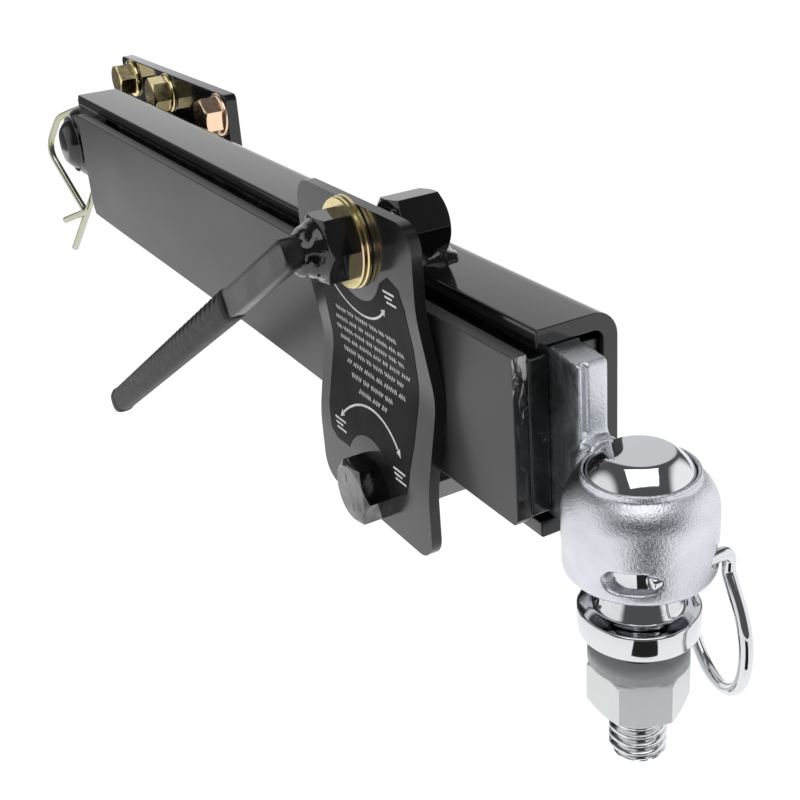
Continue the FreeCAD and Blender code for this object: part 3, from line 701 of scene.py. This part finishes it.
# ------------------------------------------------------------------ channel, plates, linings
def housing():
    low, high = span("housing_channel")
    t, r = 5.0, 8.0
    section = rounded([(low.y, low.z), (high.y, low.z), (high.y, high.z), (low.y, high.z),
                       (low.y, high.z - t), (high.y - t, high.z - t),
                       (high.y - t, low.z + t), (low.y, low.z + t)],
                      [1.0, r, r, 1.0, 0.6, r - t, r - t, 0.6], 8)
    keep("channel_shell", prism(section, low.x, high.x, axis="x"), "housing", "gloss_black",
         ["housing_channel"], bevel=0.45, sharp=40)
    low, high = span("rear_friction_pad")
    keep("rear_lining", brick(low, high), "housing", "lining", ["rear_friction_pad"],
         bevel=0.8)


def front_plate():
    low, high = span("pressure_plate")
    steps = 24
    bottom = []
    for k in range(1, steps):
        x = low.x + 2.5 + (high.x - low.x - 4.5) * k / steps
        bow = 1.1 * math.sin(math.pi * k / steps) ** 2
        bottom.append((x, low.z + bow))
    side = ([(low.x, low.z + 5.5), (low.x + 2.5, low.z)] + bottom
            + [(high.x - 2.0, low.z), (high.x, low.z + 2.0), (high.x, high.z),
               (low.x, high.z)])
    plate = prism(side, low.y, high.y)
    plate.normal_update()
    # The near end face takes plate_end, with its painted glints and painted highlight at the top.
    for face in plate.faces:
        if face.calc_center_median().x > high.x - 0.5 and abs(face.normal.x) > 0.6:
            face.material_index = 1
    keep("front_plate", plate, "clamp", "plate_black", ["pressure_plate"],
         bevel=0.55, extra=["plate_end"], sharp=30)
    low, high = span("front_friction_pad")
    keep("front_lining", brick(low, high), "clamp", "lining", ["front_friction_pad"],
         bevel=0.9)


# ------------------------------------------------------------------ yoke and label
YOKE_MID, YOKE_HALF, YOKE_BEND, YOKE_T = 46.5, 28.0, 4.6, 3.5


def yoke_back(z):
    """How far forward the yoke's back face stands at a height, its bends eased."""
    plate = span("pressure_plate")[0].y
    total = 0.0
    for k in range(-4, 5):
        total += min(abs(z + k * 1.1 - YOKE_MID) / YOKE_HALF, 1.0)
    return plate - YOKE_BEND * total / 9


def laid(outline, lift, thick, pitch=2.2):
    """An outline cut into rows along Z, so that it can bend with the yoke."""
    bm = bmesh.new()
    face = bm.faces.new([bm.verts.new((x, 0, z)) for x, z in outline])
    z0, z1 = min(p[1] for p in outline), max(p[1] for p in outline)
    bmesh.ops.triangulate(bm, faces=[face])
    z = z0 + pitch
    while z < z1:
        bmesh.ops.bisect_plane(bm, geom=bm.verts[:] + bm.edges[:] + bm.faces[:],
                               plane_co=(0, 0, z), plane_no=(0, 0, 1))
        z += pitch
    bmesh.ops.dissolve_limit(bm, angle_limit=0.001, verts=[], edges=[
        e for e in bm.edges if abs(e.verts[0].co.z - e.verts[1].co.z) > 1e-4
        and len(e.link_faces) == 2])
    grown = bmesh.ops.extrude_face_region(bm, geom=bm.faces[:])
    top = {v for v in grown["geom"] if isinstance(v, bmesh.types.BMVert)}
    for v in bm.verts:
        v.co.y = yoke_back(v.co.z) - lift - (thick if v in top else 0.0)
    return bm


def yoke():
    low, high = span("yoke_plate")
    side = rounded([(low.x, low.z), (high.x, low.z), (high.x, high.z), (low.x, high.z)], 8.0, 8)
    keep("yoke", laid(side, 0.0, YOKE_T), "clamp", "yoke_black", ["yoke_plate"],
         bevel=0.5, sharp=40)


def arc(centre, r, first, last, count=20):
    """Points on a circle between two angles in degrees."""
    return [(centre[0] + r * math.cos(math.radians(first + (last - first) * k / count)),
             centre[1] + r * math.sin(math.radians(first + (last - first) * k / count)))
            for k in range(count + 1)]


def ribbon(points, width):
    """A thin outline of even width along a line of (x, z) points."""
    left, right = [], []
    for i, p in enumerate(points):
        a = Vector(points[max(i - 1, 0)])
        b = Vector(points[min(i + 1, len(points) - 1)])
        d = (b - a).normalized() * width / 2
        left.append((p[0] - d.y, p[1] + d.x))
        right.append((p[0] + d.y, p[1] - d.x))
    return left + right[::-1]


def label():
    upper, lower = (UPPER.x, UPPER.z), (LOWER.x, LOWER.z)
    outline = ([(-123.8, 70.5), (-127.6, 62), (-129.0, 52), (-129.6, 36), (-130.4, 24),
                (-128.6, 15.5), (-124.5, 13.0), (-116.0, 13.2)]
               + arc(lower, 16.6, 152, 14, 22)
               + [(-83.5, 10.6), (-79.4, 12.0), (-77.4, 16.0), (-75.4, 30), (-74.6, 46),
                  (-71.8, 62), (-71.9, 74), (-74.5, 79.5), (-80.5, 81.5)]
               + arc(upper, 18.2, -28, -142, 22))
    keep("label_film", laid(outline, YOKE_T, 0.12), "clamp", "label_black",
         ["instruction_label"], sharp=30)
    marks = [laid(ribbon(line, 0.75), YOKE_T + 0.1, 0.06) for line in (
        arc(upper, 23.6, -136, -51, 30), arc(lower, 26.2, 134, 49, 30))]
    for centre, r, a, turn in ((upper, 23.6, -48, 1), (lower, 26.2, 46, -1), (lower, 26.2, 137, 1)):
        tip = Vector(arc(centre, r, a, a + 1, 1)[0])
        out = Vector((math.cos(math.radians(a)), math.sin(math.radians(a))))
        along = Vector((-out.y, out.x)) * turn
        head = [tip + along * 1.6, tip - along * 1.1 + out * 1.2, tip - along * 1.1 - out * 1.2]
        marks.append(laid([tuple(p) for p in head], YOKE_T + 0.1, 0.06))
    for x, z, run, rows in ((-80.0, 75.2, 7.0, 3), (-121.5, 19.2, 8.0, 3), (-82.5, 17.0, 8.0, 3)):
        for row in range(rows):
            at = (x - run / 2 + 0.7 * row, z + 1.6 - 1.6 * row)
            line = [at, (at[0] + run * (0.92, 0.6, 0.8)[row], at[1])]
            marks.append(laid(ribbon(line, 0.7), YOKE_T + 0.1, 0.06))
    for row in range(8):
        z = 60.5 - row * 3.7
        half = (19.5, 21.5, 22.5, 22.0, 20.5, 18.5, 15.0, 9.5)[row]
        x, step = -100.8 - half, 0
        while x < -100.8 + half - 2.4:
            length = (6.2, 3.6, 7.6, 4.4, 2.8, 5.8)[(row * 2 + step) % 6]
            end = min(x + length, -100.8 + half)
            count = max(3, round((end - x) / 0.62))
            line = [(x + (end - x) * k / count, z + (0.75, -0.65, 0.6, -0.75)[(k + row) % 4])
                    for k in range(count + 1)]
            marks.append(laid(ribbon(line, 0.5), YOKE_T + 0.1, 0.06))
            x, step = end + 1.5, step + 1
    keep("label_marks", merge(*marks), "clamp", "label_white", sharp=30)


# ------------------------------------------------------------------ welded nuts
NUT_LEN = 15.7


def clamp_nut(name, side, front, tip):
    """A black nut, turned by tip degrees, on weld that runs out over the channel."""
    back = span(name)[1].y
    bolt = UPPER if side > 0 else LOWER
    nut = hexed(19.0, 0, NUT_LEN, bore=6.35)
    lie = Matrix.Translation((bolt.x, front, bolt.z)) @ Matrix.Rotation(
        math.radians(-tip), 4, "Y")
    move(nut, lie @ Matrix.Translation((0, NUT_LEN, 0)) @ FORWARD)
    keep(f"{name}_hex", nut, "housing", "gloss_black", [name], bevel=0.5,
         sharp=25)
    wall = span("housing_channel")[1 if side > 0 else 0].z
    foot = bmesh.new()
    rows = []
    for i in range(41):
        u = i / 40
        y = -8.4 + (back + 1.6 + 8.4) * u
        half = 8.6 + 2.6 * u ** 2 - 6.5 * max(0, u - 0.84) / 0.16
        row = []
        for k in range(33):
            s = -1 + 2 * k / 32
            bead = 0.9 * noise.noise(Vector((s * 2.6, y * 0.3, side * 5)))
            bead += 0.35 * noise.noise(Vector((s * 6.0, y * 0.7, side * 3)))
            rise = 4.2 * (1 - s ** 4) ** 0.5 * (0.8 + 0.2 * math.cos(u * 12)) * (
                1 - max(0, (u - 0.72) / 0.28) ** 1.6 * 0.95)
            row.append(foot.verts.new((bolt.x + s * half, y, wall + side * (
                max(rise + bead * (1 - s ** 4), 0.0) - 0.3 * (abs(s) > 0.99)))))
        rows.append(row)
    for a, b in zip(rows, rows[1:]):
        for k in range(32):
            foot.faces.new((a[k], a[k + 1], b[k + 1], b[k]))
    keep(f"{name}_weld", foot, "housing", "weld", sharp=60)


# ------------------------------------------------------------------ handle
# The yoke's front face at the bolts, and the stack that stands on it at the handle.
YOKE_FACE, WASHER_T, HEX_H, HUB_H, LEVER_T = -24.5, 1.5, 8.4, 6.6, 6.0
HEX_SEAT = YOKE_FACE - 2 * WASHER_T
GRIP_START, GRIP_END, RIB_PITCH = 55.0, 256.0, 6.2


def handle():
    for count in (1, 2):
        back = YOKE_FACE - (count - 1) * WASHER_T
        r = 13.88 if count == 1 else 13.6
        ring = turned([(6.6, 0.04), (r - 0.3, 0.04), (r, 0.35), (r, 1.15),
                       (r - 0.3, WASHER_T), (6.6, WASHER_T)], 96, ring_closed=True)
        move(ring, Matrix.Translation((UPPER.x, back, UPPER.z)) @ FORWARD)
        stands = ["handle_washers"] if count == 1 else []
        keep(f"handle_washer_{count}", ring, "handle", "yellow_zinc", stands,
             sharp=40)
    seat = Matrix.Translation((UPPER.x, HEX_SEAT, UPPER.z)) @ FORWARD
    head = hexed(19.05, 0, HEX_H, chamfer_low=False, round_r=0.98)
    move(head, seat)
    keep("handle_hex", head, "handle", "gloss_black", ["handle_bolt"],
         bevel=0.35, sharp=25)
    shank = move(threaded(BOLT_R, BOLT_PITCH, BOLT_END, 0), seat)
    keep("handle_shank", shank, "handle", "thread_steel", sharp=60)
    rings = []
    for k in range(15):
        u = k / 14
        base = 9.4 - 3.6 * u ** 0.8
        rings.append((u * 7.4, lambda a, b=base, u=u: b + 0.55 * noise.noise(
            Vector((math.cos(a) * 1.6, math.sin(a) * 1.6, u * 3.5))) * min(1, u * 3)))
    hub = skin(bmesh.new(), rings, 72)
    move(hub, Matrix.Translation((UPPER.x, HEX_SEAT - HEX_H + 0.2, UPPER.z)) @ FORWARD)
    keep("handle_hub_weld", hub, "handle", "weld", sharp=70)
    lever()


def lever():
    """The bare bar, then the dipped grip with its moulded ribs fading towards the tip."""
    middle = HEX_SEAT - HEX_H - HUB_H - LEVER_T / 2
    slope = Matrix.Translation((UPPER.x, middle, UPPER.z)) @ Matrix.Rotation(
        math.radians(-30.5), 4, "Y") @ Matrix.Rotation(math.pi, 4, "Z")

    def section(x, high, thick, squareness):
        row = []
        for k in range(48):
            a = TAU * k / 48
            c, s = math.cos(a), math.sin(a)
            m = (abs(c) ** squareness + abs(s) ** squareness) ** (-1 / squareness)
            row.append((x, c * m * thick / 2, s * m * high / 2))
        return row

    def loft(rows):
        bm = bmesh.new()
        made = [[bm.verts.new(p) for p in row] for row in rows]
        bm.faces.new(made[0][::-1])
        bm.faces.new(made[-1])
        for a, b in zip(made, made[1:]):
            for k in range(48):
                j = (k + 1) % 48
                bm.faces.new((a[k], a[j], b[j], b[k]))
        return bm

    bar = [section(x, h, LEVER_T, 5.0) for x, h in (
        (-7.0, 6.5), (-6.4, 8.2), (-5.0, 9.2), (-2, 9.6), (20, 9.6), (40, 9.6), (57, 9.6))]
    keep("lever_bar", move(loft(bar), slope), "handle", "lever_black", ["handle_lever"],
         sharp=60)
    rows = []
    start, end = GRIP_START, GRIP_END
    count = 900
    for i in range(count + 1):
        x = start + (end - start) * i / count
        u = (x - start) / (end - start)
        rib = (0.5 - 0.5 * math.cos(TAU * (x - start) / RIB_PITCH)) ** 0.6
        fade = max(0.0, 1 - u / 0.66) ** 0.6
        cut = 1.5 * fade * (1 - rib) if x - start > 2 else 0.0
        high = 11.4 - 0.4 * u
        thick = 8.45
        if x < start + 3:
            grow = ((x - start) / 3) ** 0.5
            high, thick = 9.8 + (high - 9.8) * grow, 6.4 + (thick - 6.4) * grow
        if x > end - 11:
            swell = 1.0 + 0.06 * math.exp(-((x - end + 10) / 1.4) ** 2)
            high, thick = high * swell, thick * swell
        if x > end - 6:
            close = math.sqrt(max(1 - ((x - end + 6) / 6.01) ** 2, 0.0))
            high, thick = high * (0.12 + 0.88 * close), thick * (0.12 + 0.88 * close)
        row = section(x, high, thick, 2.9)
        rows.append([(p[0], p[1], p[2] - cut * max(0.0, p[2] / (high / 2)) ** 0.7)
                     if p[2] > 0 else p for p in row])
    keep("lever_grip", move(loft(rows), slope), "handle", "grip_black", ["handle_grip"],
         sharp=60)


def adjuster():
    seat = Matrix.Translation((LOWER.x, YOKE_FACE, LOWER.z))
    head = hexed(19.05, 0, 8.2, chamfer_low=False, round_r=0.95)
    move(head, seat @ FORWARD)
    keep("adjuster_head", head, "adjusting_bolt", "dark_chrome", ["adjusting_bolt"],
         bevel=0.3, sharp=25)
    marks = merge(*[move(brick((x - 0.45, -8.27, z - 1.3), (x + 0.45, -8.18, z + 1.3)),
                         seat) for x, z in ((-2.4, 4.4), (0.9, -4.9))])
    keep("adjuster_grade_marks", marks, "adjusting_bolt", "gloss_black")
    shank = move(threaded(BOLT_R, BOLT_PITCH, BOLT_END, 0.2), seat @ FORWARD)
    keep("adjuster_shank", shank, "adjusting_bolt", "thread_steel", sharp=60)


# ------------------------------------------------------------------ trailer bracket
def bracket():
    low, high = span("bracket_plate")
    side = rounded([(low.x, low.z), (high.x, low.z), (high.x, high.z), (low.x, high.z)],
                   [3, 3, 3, 3], 6)
    keep("bracket", prism(side, low.y, high.y), "bracket", "gloss_black", ["bracket_plate"],
         bevel=0.6)
    centre = Matrix.Translation((FAR.x, BALL_Z, FAR.z)) @ FORWARD
    ball = turned(ball_profile([(0.02, 0.0)]), 96)
    keep("trailer_ball", move(ball, centre), "bracket", "gloss_black", ["trailer_ball"],
         sharp=50)
    for count, (x, turn) in enumerate(((-494.5, 8), (-437.5, -14), (-365, 21)), start=1):
        skirt = turned([(0.02, 0), (9.9, 0), (10.2, 0.35), (10.2, 1.1), (9.9, 1.5), (8.6, 2.1),
                        (0.02, 2.4)], 72)
        head = hexed(16.0, 1.9, 10.5, chamfer_low=False, round_r=0.95)
        shank = threaded(5.98, 1.75, -7.35, 0.2, tip=0.8)
        for bm in (skirt, head, shank):
            move(bm, Matrix.Translation((x, BALL_Z, 70.4)) @ FORWARD
                 @ Matrix.Rotation(math.radians(turn), 4, "Z"))
        stands = ["bracket_screws"] if count == 1 else []
        look = "pink_zinc" if count == 3 else "yellow_zinc"
        keep(f"screw_{count}_head", head, "bracket", look, stands, bevel=0.4,
             sharp=25)
        keep(f"screw_{count}_skirt", skirt, "bracket", look, sharp=40)
        keep(f"screw_{count}_shank", shank, "bracket", "yellow_zinc",
             sharp=60)


# ------------------------------------------------------------------ wire clips
def clips():
    middle, across = Vector((9.7, 17.8, 0)), Vector((0.953, -0.303, 0)).normalized()
    end = ring_corners(middle, across, 17.7, 325, 340, 1)[0][:3]
    near = [(16.1, -9.5, 26.4), (16.1, 15.6, 26.4, 3.0), (15.9, 15.5, 20.1, 3.5),
            *ring_corners(middle, across, 17.7, 38, 325, 5), end]
    keep("hitch_clip_wire", swept(bent(near), 1.85), "hitch_clip", "chrome", ["hitch_clip"],
         sharp=60)
    far = [(-494.0, -11.7, -19.3), (-484.4, 12.3, 30.5, 8.0), (-482.0, 13.1, 64.0, 4.2),
           (-502.5, -5.2, 54.2, 9.0), (-508.0, -12.6, 37.0, 13.0), (-484.6, -4.0, 3.2, 2.3),
           (-497.0, -13.4, -2.6)]
    keep("trailer_clip_wire", swept(bent(far), 1.85), "housing", "clip_yellow",
         ["trailer_clip"], sharp=60)


for build in (hitch_ball, ball_hardware, hitch_socket, trailer_socket, housing, front_plate,
              yoke, label, handle, adjuster, bracket, clips):
    build()
clamp_nut("upper_clamp_nut", 1, -11.3, 6.4)
clamp_nut("lower_clamp_nut", -1, -8.4, 0.0)

# ------------------------------------------------------------------ floor, light and camera
def sheet(name, place, target, wide, high, tone, glow=0.0):
    """A flat stage panel facing a target."""
    bm = bmesh.new()
    bmesh.ops.create_grid(bm, x_segments=1, y_segments=1, size=0.5)
    bmesh.ops.scale(bm, vec=(wide, high, 1), verts=bm.verts)
    mesh = bpy.data.meshes.new(name)
    bm.to_mesh(mesh)
    bm.free()
    obj = bpy.data.objects.new(name, mesh)
    obj.location = place
    obj.rotation_euler = (Vector(target) - Vector(place)).to_track_quat("Z", "Y").to_euler()
    scene.collection.objects.link(obj)
    paint = Finish(name, (tone, tone, tone), 0.9)
    paint.skin.inputs["Emission Color"].default_value = (1, 1, 1, 1)
    paint.skin.inputs["Emission Strength"].default_value = glow
    mesh.materials.append(paint.mat)
    return obj


sheet("floor", (0, 0, -0.45), (0, 0, 1), 60, 60, 0.75, 0.8)
for flag in (sheet("dark_flag", (0.30, -0.16, -0.16), (0, 0, 0), 0.26, 0.30, 0.01),
             sheet("grey_flag", (-2.4, -0.75, -0.1), (0, 0, 0), 1.2, 0.7, 0.12)):
    flag.visible_camera = False

world = bpy.data.worlds.new("studio")
scene.world = world
world.use_nodes = True
sky = world.node_tree
sky.nodes["Background"].inputs["Strength"].default_value = 1.0


def wall(under, toward, wide, soft, tone):
    """Lays a soft-edged bright or dark patch of studio over what is already there."""
    where = sky.nodes.new("ShaderNodeTexCoord")
    dot = sky.nodes.new("ShaderNodeVectorMath")
    dot.operation = "DOT_PRODUCT"
    dot.inputs[1].default_value = Vector(toward).normalized()
    sky.links.new(where.outputs["Generated"], dot.inputs[0])
    edge = sky.nodes.new("ShaderNodeMapRange")
    edge.interpolation_type = "SMOOTHSTEP"
    edge.inputs["From Min"].default_value = math.cos(math.radians(wide + soft))
    edge.inputs["From Max"].default_value = math.cos(math.radians(wide))
    sky.links.new(dot.outputs["Value"], edge.inputs["Value"])
    mix = sky.nodes.new("ShaderNodeMix")
    mix.data_type = "RGBA"
    sky.links.new(edge.outputs["Result"], mix.inputs["Factor"])
    if under:
        sky.links.new(under, mix.inputs["A"])
    else:
        mix.inputs["A"].default_value = (0.1, 0.1, 0.105, 1)
    mix.inputs["B"].default_value = (tone, tone, tone * 1.01, 1)
    return mix.outputs["Result"]


studio = wall(None, (-0.796, 0.416, 0.438), 25, 14, 0.78)
studio = wall(studio, (-0.46, -0.886, 0.1), 24, 18, 1.0)
studio = wall(studio, (0.46, 0.886, 0.05), 30, 16, 1.15)
sky.links.new(studio, sky.nodes["Background"].inputs["Color"])


def softbox(name, place, target, wide, high, power):
    lamp = bpy.data.lights.new(name, "AREA")
    lamp.shape = "RECTANGLE"
    lamp.size, lamp.size_y, lamp.energy = wide, high, power
    obj = bpy.data.objects.new(name, lamp)
    obj.location = place
    obj.rotation_euler = (Vector(target) - Vector(place)).to_track_quat("-Z", "Y").to_euler()
    scene.collection.objects.link(obj)


softbox("overhead", (0.27, -0.14, 0.95), (0, 0, 0.05), 0.95, 0.8, 4.2)

scene.view_settings.view_transform = "Standard"

camera = bpy.data.objects.new("camera", bpy.data.cameras.new("camera"))
scene.collection.objects.link(camera)
azimuth, elevation, roll = (math.radians(a) for a in (62.44, 25.40, 4.64))
ahead = Vector((-math.sin(azimuth) * math.cos(elevation),
                math.cos(azimuth) * math.cos(elevation), -math.sin(elevation)))
level = Vector((math.cos(azimuth), math.sin(azimuth), 0))
down = ahead.cross(level)
right = level * math.cos(roll) + down * math.sin(roll)
below = down * math.cos(roll) - level * math.sin(roll)
turn = Matrix((right, -below, -ahead)).transposed().to_4x4()
camera.matrix_world = Matrix.Translation((0.2151, -0.1777, 0.2015)) @ turn
camera.data.sensor_width = 36
camera.data.lens = 56.7
camera.data.clip_start, camera.data.clip_end = 0.01, 50
scene.camera = camera
